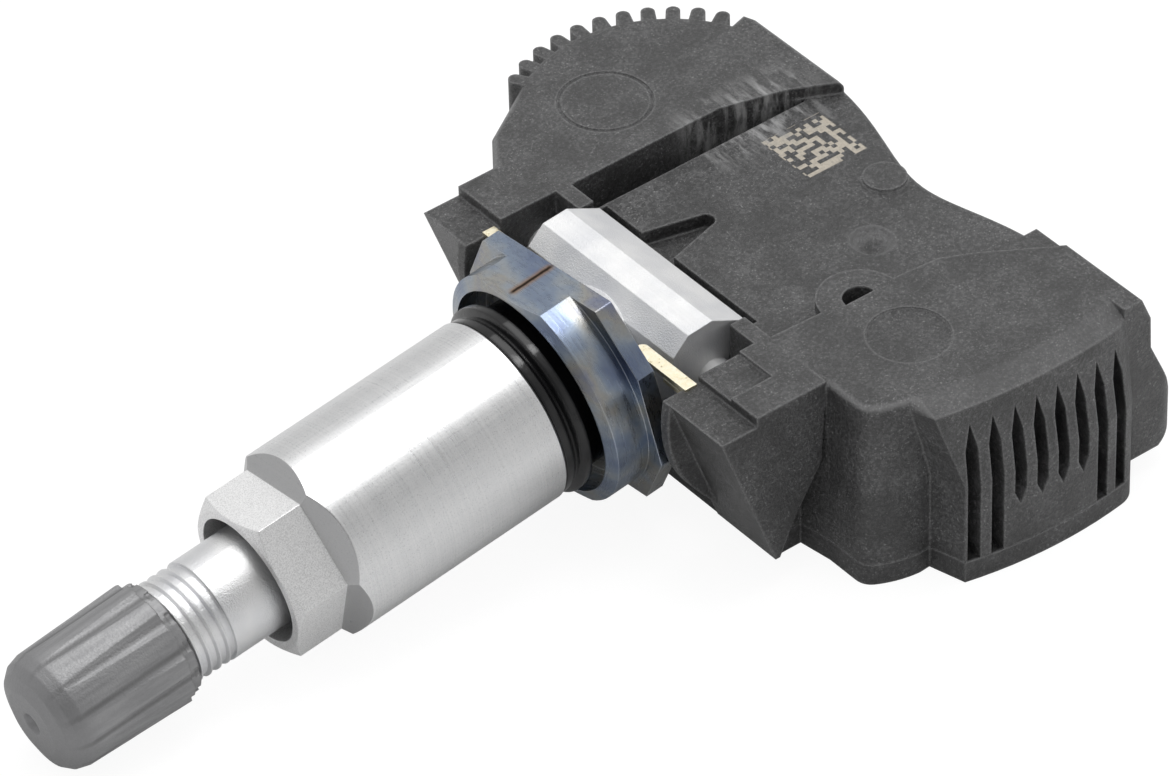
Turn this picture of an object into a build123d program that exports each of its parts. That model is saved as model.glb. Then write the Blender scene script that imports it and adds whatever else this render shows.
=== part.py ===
import os
from math import cos, radians, sin

from build123d import *

# Stem line, which tilts down from the pivot towards the cap
PIVOT_HEIGHT = 11.9
STEM_TILT = 8.0

# Valve stem, distances along the stem line from the pivot
NECK_RADIUS = 5.48
NECK_END = 5.35
PILOT_RADIUS = 4.85
PILOT_END = 7.9
NUT_THREAD_RADIUS = 4.27
NUT_THREAD_END = 27.5
SHANK_RADIUS = 3.9
SHANK_END = 38.5
MOUTH_RADIUS = 3.6
MOUTH_END = 50.4
AIR_RADIUS = 1.2
CHAMBER_RADIUS = 2.1
CHAMBER_START = MOUTH_END - 14.9
SEAT_START = MOUTH_END - 7.0
SEAT_END = MOUTH_END - 6.2
CORE_THREAD_RADIUS = 2.6

# Foot bar, cut across the pivot line, heights from the pivot
BAR_LENGTH = 16.0
BAR_FRONT = 3.45
BAR_SHOULDER = 3.3
BAR_TOP_FRONT = 2.1
BAR_TOP = 4.85
BAR_TOP_DROP = 0.2
BAR_REAR = 2.9
BAR_REAR_TOP = 3.4
BAR_WEB_REAR = 1.5
BAR_LIP = 0.6
BAR_BOTTOM = 4.4
PIN_RADIUS = 1.4
PIN_REACH = 2.1
RUNNING_GAP = 0.05

# Valve core
CORE_HEAD_RADIUS = 2.55
CORE_HEAD_LENGTH = 4.6
CORE_HEAD_INSET = 0.9
CORE_BARREL_RADIUS = 1.75
CORE_BARREL_LENGTH = 6.2
CORE_BORE_RADIUS = 1.25
CORE_SEAL_WIDTH = 1.1
PIN_WIRE_RADIUS = 0.45
PIN_HEAD_RADIUS = 0.7
CUP_RADIUS = 1.55
CUP_LENGTH = 0.9
CUP_SEAL_THICKNESS = 0.45
SPRING_WIRE = 0.28
SPRING_RADIUS = 0.86
SPRING_TURNS = 5
GUIDE_LENGTH = 1.0

# Valve cap
CAP_RIM_RADIUS = 4.67
CAP_NOSE_RADIUS = 4.43
CAP_RIM_START = MOUTH_END - 7.7
CAP_START = MOUTH_END - 8.5
CAP_END = MOUTH_END + 2.5
CAP_COLLAR_RADIUS = 4.3
CAP_CORNER = 1.9
CAP_FLUTES = 12
FLUTE_CUTTER_RADIUS = 1.0
FLUTE_DEPTH = 0.27
DIMPLE_RADIUS = 0.9
DIMPLE_DEPTH = 0.5
NOTCH_DEPTH = 0.3
NOTCH_WIDTH = 0.8
SEAL_THICKNESS = 0.8
SEAL_RADIUS = 3.5
SEAL_HOLE_RADIUS = 1.9

# Collar nut
COLLAR_RADIUS = 7.1
COLLAR_START = 12.25
HEX_START = 30.55
NUT_FACE = 34.57
HEX_ACROSS_FLATS = 11.0
HEX_CORNER_ANGLE = -19.8
HEX_RUN_OUT = 52.0
HEX_CHAMFER = 30.0
NUT_MOUTH_RADIUS = 4.9
NUT_MOUTH_DEPTH = 5.2
NUT_SLEEVE_DEPTH = 4.9

# Rubber grommet
SLEEVE_RADIUS = 5.65
SLEEVE_LENGTH = 4.6
THREAD_STEP = PILOT_RADIUS - NUT_THREAD_RADIUS
GROMMET_FRONT_RADIUS = 7.0
GROMMET_RIDGE_RADIUS = 7.4
GROMMET_GROOVE_RADIUS = 6.75
GROMMET_REAR_RADIUS = 6.5
GROMMET_CUP_FLOOR = 7.2

# Support washer
WASHER_FLANGE_RADIUS = 10.5
WASHER_FLANGE = 1.4
WASHER_LIP_RADIUS = 9.05
WASHER_LIP_END = 9.8
WASHER_LIP_CONE = 0.4
WASHER_BORE_RADIUS = 8.05
WASHER_TURN = 8.0
WASHER_TOP_FLAT = 8.3
WASHER_CORNER_FLAT = 10.1
WASHER_SIDE_FLAT = 9.7
WASHER_CORNER_ANGLE = 54.2

# Housing levels above the base plane
COVER_THICKNESS = 1.8
PLATEAU = 15.9
SUNKEN_DEPTH = 1.0
GROOVE_DEPTH = 4.0
WEDGE_DROP = 0.8
ARM_BOTTOM = 2.4
POCKET_TOP = 10.4

# Housing plan
FRONT = -0.3
BATTERY_X = 13.2
BATTERY_Y = 13.0
BATTERY_RADIUS = 10.0
LOBE_RADIUS = BATTERY_RADIUS + 1.0
FIN_COUNT = 11
FIN_FIRST_ANGLE = 31.6
FIN_PITCH = 9.0
FIN_REACH = 1.1
FIN_WIDTH = 1.05
FIN_TOP_DROP = 0.1
REAR = 24.8
ARM_INNER = 10.9
ARM_WIDTH_LEFT = 4.8
ARM_WIDTH_RIGHT = 6.3
ARM_TIP = -6.7
ARM_WEDGE = 3.1
ARM_FOOT = -2.1
ARM_REAR = 2.5
ARM_FLOOR_STEP = 0.25
ARM_FLOOR_EDGE = -14.4
CHEEK_WIDTH = 0.8
STEP_RIGHT = -11.1
GROOVE_EDGE = 8.5
PLATEAU_EDGE = 10.8
TROUGH_FLOOR = 4.4
TROUGH_REAR = 3.75
TROUGH_REAR_LOW = 2.6
TROUGH_SHOULDER = 11.6
POCKET_REAR = 1.3

# Slotted end wall, levels above the base plane and set-backs from its lower face
GRILLE_FRONT = 6.9
GRILLE_SIDE = 1.2
GRILLE_FACE = -26.2
GRILLE_BOW = 0.9
GRILLE_BASE = -21.0
GRILLE_KINK = 8.5
GRILLE_LEAN_TOP = 15.0
GRILLE_LEAN = 1.1
GRILLE_SHOULDER = 2.9
GRILLE_SPREAD = 1.9
BACK = 24.0
SLOT_COUNT = 8
SLOT_FIRST = 8.75
SLOT_PITCH = 1.83
SLOT_WIDTH = 1.0
SLOT_TOP = 13.7
SLOT_DEPTH = 2.6
SLOT_SHORT_FOOT = 5.3
SLOT_TAPER = 2.2
SLOT_VEE = 1.2
SHORT_SLOTS = (2, 3, 4, 5)

# Swelling of the back wall beside the slotted wall
BULGE_START = -24.5
BULGE_END = -13.0
BULGE_ROUND = 1.6

# Housing details
BOSS_X = 10.0
BOSS_Y = -11.8
BOSS_RADIUS = 3.1
VENT_RADIUS = 1.25
DIMPLE_X = 15.5
DIMPLE_Y = -6.6
DISC_X = 20.6
DISC_Y = -1.9
DISC_RADIUS = 1.6
DISC_RISE = 0.25
DIMPLE_SPHERE = 1.9
DIMPLE_LIFT = 1.0
RECESS_X = 10.0
RECESS_Y = -17.0
RECESS_RADIUS = 3.0
RING_X = 10.3
RING_Y = 16.6
RING_RADIUS = 3.5
MARK_WIDTH = 0.3
MARK_DEPTH = 0.12
TRENCH_Y = 2.6
TRENCH_END = 8.0
TRENCH_MOUTH = 3.6
TRENCH_TIP_RADIUS = 0.7
TRENCH_DEPTH = 1.2
TOP_ROUND = 0.7

# Clips
CLIP_THICKNESS = 0.35
CLIP_FOLD_GAP = 0.1
CLIP_FRONT = -5.0
CLIP_WIDTH = 1.05
CLIP_TOP = 15.3
CLIP_INNER = 5.4
CLIP_SEAT = 0.3
CLIP_SECOND_LAYER = 8.8

# Inner pieces
BATTERY_THICKNESS = 5.0
BOARD_THICKNESS = 0.8
BOARD_LIFT = 0.8
BOARD_X = 14.0
BOARD_Y = -4.5
BOARD_WIDTH = 14.8
BOARD_LENGTH = 32.4
BOARD_ROOM = 0.3
BOARD_CORNER = 1.0
TAB_THICKNESS = 0.2
TAB_WIDTH = 3.0
BATTERY_LIFT = 1.3
PAD_RADIUS = 1.0
PAD_INSET = 2.0
CELL_CHAMFER = 0.4
CHIP_LENGTH = 1.6
CHIP_WIDTH = 1.0
CHIP_HEIGHT = 0.6
CHIP_PITCH = 2.0

PIVOT = Vector(0, 0, PIVOT_HEIGHT)
STEM_DIR = Vector(-cos(radians(STEM_TILT)), 0, -sin(radians(STEM_TILT)))
UP_DIR = Vector(-sin(radians(STEM_TILT)), 0, cos(radians(STEM_TILT)))
STEM_AXIS = Axis(PIVOT, STEM_DIR)


def across(distance):
    """Plane square to the stem line, with its X up and its Y along +Y."""
    return Plane(origin=PIVOT + STEM_DIR * distance, x_dir=UP_DIR, z_dir=STEM_DIR)


def along(angle=0.0):
    """Plane that holds the stem line, turned about it from upright towards +Y."""
    radial = UP_DIR * cos(radians(angle)) + Vector(0, 1, 0) * sin(radians(angle))
    return Plane(origin=PIVOT, x_dir=STEM_DIR, z_dir=STEM_DIR.cross(radial))


def profile(*corners):
    """Half section of a turned piece, from (distance, radius) corners."""
    with BuildSketch(along()) as section:
        with BuildLine():
            Polyline(*corners, close=True)
        make_face()
    return section.sketch


def outline(plane):
    """Plan of the housing, with the battery lobe at +Y and the slotted wall at -Y."""
    lobe_start = radians(27)
    lobe_end = radians(125)
    start = (BATTERY_X + LOBE_RADIUS * cos(lobe_start), BATTERY_Y + LOBE_RADIUS * sin(lobe_start))
    crown = (BATTERY_X, BATTERY_Y + LOBE_RADIUS)
    end = (BATTERY_X + LOBE_RADIUS * cos(lobe_end), BATTERY_Y + LOBE_RADIUS * sin(lobe_end))
    with BuildSketch(plane) as plan:
        with BuildLine():
            Line((FRONT, 14.8), (FRONT, -14.8))
            Line((FRONT, -14.8), (2.1, -14.8))
            Line((2.1, -14.8), (2.5, -17.5))
            Line((2.5, -17.5), (2.5, -20.2))
            Spline((2.5, -20.2), (3.6, -21.7), (6.4, -22.5), tangents=[(0, -1), (1, -0.1)])
            Line((6.4, -22.5), (BACK, -21.5))
            Line((BACK, -21.5), (BACK, -14.0))
            Spline((BACK, -14.0), (22.0, -4.6), (REAR, 8.0), tangents=[(-0.1, 1), (0.1, 1)])
            Line((REAR, 8.0), (REAR, 17.3))
            Line((REAR, 17.3), (REAR - 0.4, 18.4))
            Line((REAR - 0.4, 18.4), start)
            ThreePointArc(start, crown, end)
            Line(end, (1.8, 18.8))
            Line((1.8, 18.8), (FRONT, 16.0))
            Line((FRONT, 16.0), (FRONT, 14.8))
        make_face()
    return plan.sketch


def wall_section(height, set_back, spread):
    """Plan of the slotted wall at a height: bowed face with a sharp front end."""
    left = GRILLE_FRONT - spread
    face = GRILLE_FACE + set_back
    with BuildSketch(Plane.XY.offset(height)) as plan:
        with BuildLine():
            Line((left, GRILLE_BASE), (left + GRILLE_SIDE, face + GRILLE_BOW))
            ThreePointArc((left + GRILLE_SIDE, face + GRILLE_BOW), (15.5, face - 0.15), (21.8, face + 0.15))
            Spline((21.8, face + 0.15), (BACK, -21.9), tangents=[(1, 0.15), (0, 1)])
            Polyline((BACK, -21.9), (BACK, -19), (left, -19), (left, GRILLE_BASE))
        make_face()
    return plan.sketch


def arm(inner, width, side):
    """Arm beside the foot bar: wedge tip, sloping front face and a curved cheek inside it."""
    tip = (ARM_TIP, PLATEAU - WEDGE_DROP)
    with BuildPart() as piece:
        with BuildSketch(Plane.XZ.offset(-side * inner)):
            with BuildLine():
                Spline(
                    tip,
                    (ARM_TIP - 0.2, 12.4),
                    (ARM_TIP + 0.6, 9.0),
                    (ARM_TIP + 2.7, 5.7),
                    (ARM_TIP + 4.9, 3.2),
                )
                Polyline((ARM_TIP + 4.9, 3.2), (1.0, 3.2), (1.0, PLATEAU - WEDGE_DROP), tip)
            make_face()
        extrude(amount=-side * CHEEK_WIDTH)
        with BuildSketch(Plane.XZ.offset(-side * inner)):
            with BuildLine():
                Polyline(
                    tip,
                    (ARM_TIP + ARM_WEDGE, PLATEAU - WEDGE_DROP),
                    (ARM_TIP + ARM_WEDGE, PLATEAU),
                    (ARM_REAR, PLATEAU),
                    (ARM_REAR - 0.5, 9.0),
                    (ARM_REAR - 2.8, 5.4),
                    (ARM_FOOT + 0.4, ARM_BOTTOM),
                    (ARM_FOOT, ARM_BOTTOM),
                    close=True,
                )
            make_face()
        extrude(amount=-side * width)
    return piece.part


# Valve stem with its foot bar, turned and milled from one piece
bar_corners = [
    (-BAR_FRONT, BAR_SHOULDER),
    (-BAR_TOP_FRONT, BAR_TOP - BAR_TOP_DROP),
    (0, BAR_TOP),
    (BAR_REAR, BAR_REAR_TOP),
    (BAR_REAR, BAR_REAR_TOP - BAR_LIP),
    (BAR_WEB_REAR, BAR_REAR_TOP - 2 * BAR_LIP),
    (BAR_WEB_REAR, -BAR_SHOULDER),
    (-BAR_WEB_REAR, -BAR_BOTTOM),
    (-BAR_FRONT, -BAR_SHOULDER),
]
with BuildPart() as valve_stem:
    with BuildSketch(Plane.XZ):
        with BuildLine():
            Polyline(*[(x, z + PIVOT_HEIGHT) for x, z in bar_corners], close=True)
        make_face()
    extrude(amount=BAR_LENGTH / 2, both=True)
    with BuildSketch(Plane.XZ):
        with Locations((0, PIVOT_HEIGHT)):
            Circle(PIN_RADIUS)
    extrude(amount=ARM_INNER + PIN_REACH, both=True)
    revolve(
        profile(
            (BAR_FRONT - 2.2, 0),
            (BAR_FRONT - 2.2, BAR_SHOULDER),
            (NECK_END - 1.1, NECK_RADIUS),
            (NECK_END, NECK_RADIUS),
            (NECK_END, PILOT_RADIUS),
            (PILOT_END, PILOT_RADIUS),
            (PILOT_END, NUT_THREAD_RADIUS),
            (NUT_THREAD_END, NUT_THREAD_RADIUS),
            (NUT_THREAD_END, SHANK_RADIUS),
            (SHANK_END, SHANK_RADIUS),
            (SHANK_END, MOUTH_RADIUS),
            (MOUTH_END - 0.4, MOUTH_RADIUS),
            (MOUTH_END, MOUTH_RADIUS - 0.4),
            (MOUTH_END, 0),
        ),
        axis=STEM_AXIS,
    )
    revolve(
        profile(
            (-BAR_LENGTH / 2, 0),
            (-BAR_LENGTH / 2, AIR_RADIUS),
            (CHAMBER_START, AIR_RADIUS),
            (CHAMBER_START, CHAMBER_RADIUS),
            (SEAT_START, CHAMBER_RADIUS),
            (SEAT_END, CORE_THREAD_RADIUS),
            (MOUTH_END, CORE_THREAD_RADIUS),
            (MOUTH_END, 0),
        ),
        axis=STEM_AXIS,
        mode=Mode.SUBTRACT,
    )
valve_stem.part.label = "valve_stem"

# Valve core: threaded head with its barrel
head_top = MOUTH_END - CORE_HEAD_INSET
head_bottom = head_top - CORE_HEAD_LENGTH
barrel_bottom = head_bottom - CORE_BARREL_LENGTH
with BuildPart() as valve_core_body:
    revolve(
        profile(
            (barrel_bottom, CORE_BORE_RADIUS),
            (barrel_bottom, CORE_BARREL_RADIUS),
            (head_bottom, CORE_BARREL_RADIUS),
            (head_bottom, CORE_HEAD_RADIUS),
            (head_top, CORE_HEAD_RADIUS),
            (head_top, PIN_HEAD_RADIUS + RUNNING_GAP),
            (head_bottom, PIN_HEAD_RADIUS + RUNNING_GAP),
            (head_bottom, CORE_BORE_RADIUS),
        ),
        axis=STEM_AXIS,
    )
    with BuildSketch(across(head_top)):
        Rectangle(2 * CORE_HEAD_RADIUS, 1.0)
    extrude(amount=-1.2, mode=Mode.SUBTRACT)
valve_core_body.part.label = "valve_core_body"

# Ring seal round the barrel, seated on the cone in the stem
with BuildPart() as valve_core_seal:
    revolve(
        profile(
            (SEAT_START - CORE_SEAL_WIDTH + 0.3, CORE_BARREL_RADIUS),
            (SEAT_START - CORE_SEAL_WIDTH + 0.3, CHAMBER_RADIUS),
            (SEAT_START, CHAMBER_RADIUS),
            (SEAT_START, CORE_BARREL_RADIUS),
        ),
        axis=STEM_AXIS,
    )
valve_core_seal.part.label = "valve_core_seal"

# Core pin: top button, wire and the cup that closes the barrel
pin_tip = MOUTH_END - 0.3
cup_top = barrel_bottom - CUP_SEAL_THICKNESS
guide_top = head_bottom
with BuildPart() as valve_core_pin:
    revolve(
        profile(
            (cup_top - CUP_LENGTH, 0),
            (cup_top - CUP_LENGTH, CUP_RADIUS),
            (cup_top, CUP_RADIUS),
            (cup_top, PIN_WIRE_RADIUS),
            (guide_top, PIN_WIRE_RADIUS),
            (guide_top, PIN_HEAD_RADIUS),
            (pin_tip - 0.2, PIN_HEAD_RADIUS),
            (pin_tip, PIN_HEAD_RADIUS - 0.2),
            (pin_tip, 0),
        ),
        axis=STEM_AXIS,
    )
valve_core_pin.part.label = "valve_core_pin"

# Rubber disc between the cup and the barrel's end
with BuildPart() as valve_core_cup_seal:
    revolve(
        profile(
            (cup_top, PIN_WIRE_RADIUS),
            (cup_top, CUP_RADIUS),
            (barrel_bottom, CUP_RADIUS),
            (barrel_bottom, PIN_WIRE_RADIUS),
        ),
        axis=STEM_AXIS,
    )
valve_core_cup_seal.part.label = "valve_core_cup_seal"

# Guide bush at the foot of the barrel, which the spring stands on
with BuildPart() as valve_core_guide:
    revolve(
        profile(
            (barrel_bottom, PIN_WIRE_RADIUS + RUNNING_GAP),
            (barrel_bottom, CORE_BORE_RADIUS),
            (barrel_bottom + GUIDE_LENGTH, CORE_BORE_RADIUS),
            (barrel_bottom + GUIDE_LENGTH, PIN_WIRE_RADIUS + RUNNING_GAP),
        ),
        axis=STEM_AXIS,
    )
valve_core_guide.part.label = "valve_core_guide"

# Coil spring between the guide bush and the pin's button
spring_start = barrel_bottom + GUIDE_LENGTH + SPRING_WIRE / 2
spring_length = guide_top - SPRING_WIRE / 2 - spring_start
with BuildPart() as valve_core_spring:
    with BuildLine():
        coil = Helix(
            pitch=spring_length / SPRING_TURNS,
            height=spring_length,
            radius=SPRING_RADIUS,
            center=PIVOT + STEM_DIR * spring_start,
            direction=STEM_DIR,
        )
    with BuildSketch(Plane(origin=coil @ 0, z_dir=coil % 0)):
        RegularPolygon(SPRING_WIRE / 2, 6)
    sweep()
valve_core_spring.part.label = "valve_core_spring"

# Valve cap with flutes, a notched collar and a dimpled nose
seal_top = MOUTH_END + SEAL_THICKNESS
cap_bore = MOUTH_RADIUS + RUNNING_GAP
with BuildPart() as valve_cap:
    revolve(
        profile(
            (seal_top, 0),
            (seal_top, cap_bore),
            (CAP_START, cap_bore),
            (CAP_START, CAP_COLLAR_RADIUS),
            (CAP_RIM_START, CAP_COLLAR_RADIUS),
            (CAP_RIM_START, CAP_RIM_RADIUS),
            (CAP_END - CAP_CORNER, CAP_NOSE_RADIUS),
            (CAP_END - 0.53 * CAP_CORNER, CAP_NOSE_RADIUS - 0.13 * CAP_CORNER),
            (CAP_END - 0.2 * CAP_CORNER, CAP_NOSE_RADIUS - 0.42 * CAP_CORNER),
            (CAP_END, CAP_NOSE_RADIUS - CAP_CORNER),
            (CAP_END, DIMPLE_RADIUS),
            (CAP_END - DIMPLE_DEPTH, DIMPLE_RADIUS / 2),
            (CAP_END - DIMPLE_DEPTH, 0),
        ),
        axis=STEM_AXIS,
    )
    with BuildSketch(across(CAP_RIM_START)):
        with PolarLocations(CAP_RIM_RADIUS + FLUTE_CUTTER_RADIUS - FLUTE_DEPTH, CAP_FLUTES):
            Circle(FLUTE_CUTTER_RADIUS)
    extrude(amount=CAP_END - CAP_RIM_START, mode=Mode.SUBTRACT)
    with BuildSketch(across(CAP_START)):
        with PolarLocations(CAP_COLLAR_RADIUS, CAP_FLUTES):
            Rectangle(NOTCH_DEPTH, NOTCH_WIDTH)
    extrude(amount=(CAP_RIM_START - CAP_START) / 2, mode=Mode.SUBTRACT)
valve_cap.part.label = "valve_cap"

# Rubber seal in the cap, on the stem's mouth
with BuildPart() as cap_seal:
    revolve(
        profile(
            (MOUTH_END, SEAL_HOLE_RADIUS),
            (MOUTH_END, SEAL_RADIUS),
            (seal_top, SEAL_RADIUS),
            (seal_top, SEAL_HOLE_RADIUS),
        ),
        axis=STEM_AXIS,
    )
cap_seal.part.label = "cap_seal"

# Collar nut: long round collar with a milled hexagon on its front
flat = HEX_ACROSS_FLATS / 2
nut_bore = NUT_THREAD_RADIUS + RUNNING_GAP
sleeve_bore = SLEEVE_RADIUS + 2 * RUNNING_GAP
chamfer_run = (COLLAR_RADIUS - flat) * sin(radians(HEX_CHAMFER)) / cos(radians(HEX_CHAMFER))
run_out = 3.0 * cos(radians(HEX_RUN_OUT))
rise = 3.0 * sin(radians(HEX_RUN_OUT))
with BuildPart() as collar_nut:
    revolve(
        profile(
            (COLLAR_START, sleeve_bore),
            (COLLAR_START, COLLAR_RADIUS - 0.2),
            (COLLAR_START + 0.2, COLLAR_RADIUS),
            (NUT_FACE - chamfer_run, COLLAR_RADIUS),
            (NUT_FACE, flat),
            (NUT_FACE, NUT_MOUTH_RADIUS),
            (NUT_FACE - NUT_MOUTH_DEPTH, NUT_MOUTH_RADIUS),
            (NUT_FACE - NUT_MOUTH_DEPTH, nut_bore),
            (COLLAR_START + NUT_SLEEVE_DEPTH, nut_bore),
            (COLLAR_START + NUT_SLEEVE_DEPTH, sleeve_bore),
        ),
        axis=STEM_AXIS,
    )
    for side in range(6):
        with BuildSketch(along(HEX_CORNER_ANGLE + 30 + 60 * side)):
            with BuildLine():
                Polyline(
                    (NUT_FACE + 1, flat),
                    (HEX_START, flat),
                    (HEX_START - run_out, flat + rise),
                    (NUT_FACE + 1, flat + rise),
                    close=True,
                )
            make_face()
        extrude(amount=HEX_ACROSS_FLATS, both=True, mode=Mode.SUBTRACT)
collar_nut.part.label = "collar_nut"

# Rubber grommet: sleeve in the nut, ridge, and foot in the washer's cup
with BuildPart() as grommet:
    revolve(
        profile(
            (GROMMET_CUP_FLOOR, NUT_THREAD_RADIUS + THREAD_STEP),
            (GROMMET_CUP_FLOOR, GROMMET_REAR_RADIUS),
            (COLLAR_START - 2.1, GROMMET_REAR_RADIUS),
            (COLLAR_START - 1.85, GROMMET_RIDGE_RADIUS),
            (COLLAR_START - 1.25, GROMMET_RIDGE_RADIUS),
            (COLLAR_START - 0.95, GROMMET_GROOVE_RADIUS),
            (COLLAR_START - 0.6, GROMMET_FRONT_RADIUS),
            (COLLAR_START, GROMMET_FRONT_RADIUS),
            (COLLAR_START, SLEEVE_RADIUS),
            (COLLAR_START + SLEEVE_LENGTH, SLEEVE_RADIUS),
            (COLLAR_START + SLEEVE_LENGTH, NUT_THREAD_RADIUS),
            (PILOT_END, NUT_THREAD_RADIUS),
            (PILOT_END, NUT_THREAD_RADIUS + THREAD_STEP),
        ),
        axis=STEM_AXIS,
    )
grommet.part.label = "grommet"

# Support washer: cup for the grommet on a flange with flats
washer_rear = NECK_END
washer_flats = [
    (0, WASHER_TOP_FLAT),
    (180, WASHER_TOP_FLAT),
    (90, WASHER_SIDE_FLAT),
    (-90, WASHER_SIDE_FLAT),
    (WASHER_CORNER_ANGLE, WASHER_CORNER_FLAT),
    (-WASHER_CORNER_ANGLE, WASHER_CORNER_FLAT),
    (180 - WASHER_CORNER_ANGLE, WASHER_CORNER_FLAT),
    (180 + WASHER_CORNER_ANGLE, WASHER_CORNER_FLAT),
]
with BuildPart() as support_washer:
    revolve(
        profile(
            (washer_rear, PILOT_RADIUS + RUNNING_GAP),
            (washer_rear, WASHER_FLANGE_RADIUS),
            (washer_rear + WASHER_FLANGE, WASHER_FLANGE_RADIUS),
            (washer_rear + WASHER_FLANGE, WASHER_LIP_RADIUS),
            (WASHER_LIP_END - WASHER_LIP_CONE, WASHER_LIP_RADIUS),
            (WASHER_LIP_END, WASHER_BORE_RADIUS),
            (GROMMET_CUP_FLOOR, WASHER_BORE_RADIUS),
            (GROMMET_CUP_FLOOR, PILOT_RADIUS + RUNNING_GAP),
        ),
        axis=STEM_AXIS,
    )
    for angle, distance in washer_flats:
        with BuildSketch(along(WASHER_TURN + angle)):
            with Locations((washer_rear, distance)):
                Rectangle(2 * WASHER_LIP_END, 4, align=(Align.CENTER, Align.MIN))
        extrude(amount=WASHER_FLANGE_RADIUS, both=True, mode=Mode.SUBTRACT)
support_washer.part.label = "support_washer"

# Folded metal strips that stand in slots of the arms, one each side
clip_end = ARM_INNER + CLIP_SEAT
layer_drop = CLIP_THICKNESS + CLIP_FOLD_GAP
with BuildPart() as retaining_clips:
    with BuildSketch(Plane.YZ.offset(CLIP_FRONT)):
        with BuildLine():
            Polyline(
                (CLIP_INNER, CLIP_TOP),
                (clip_end, CLIP_TOP),
                (clip_end, CLIP_TOP - CLIP_THICKNESS - layer_drop),
                (CLIP_SECOND_LAYER, CLIP_TOP - CLIP_THICKNESS - layer_drop),
                (CLIP_SECOND_LAYER, CLIP_TOP - layer_drop),
                (clip_end - CLIP_THICKNESS, CLIP_TOP - layer_drop),
                (clip_end - CLIP_THICKNESS, CLIP_TOP - CLIP_THICKNESS),
                (CLIP_INNER, CLIP_TOP - CLIP_THICKNESS),
                close=True,
            )
        make_face()
    extrude(amount=CLIP_WIDTH)
    inner_edges = retaining_clips.edges().filter_by(Axis.Z).sort_by(Axis.Y)[:2]
    fillet(inner_edges, radius=CLIP_WIDTH / 2 - 0.02)
    mirror(about=Plane.XZ)
retaining_clips.part.label = "retaining_clips"

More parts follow.
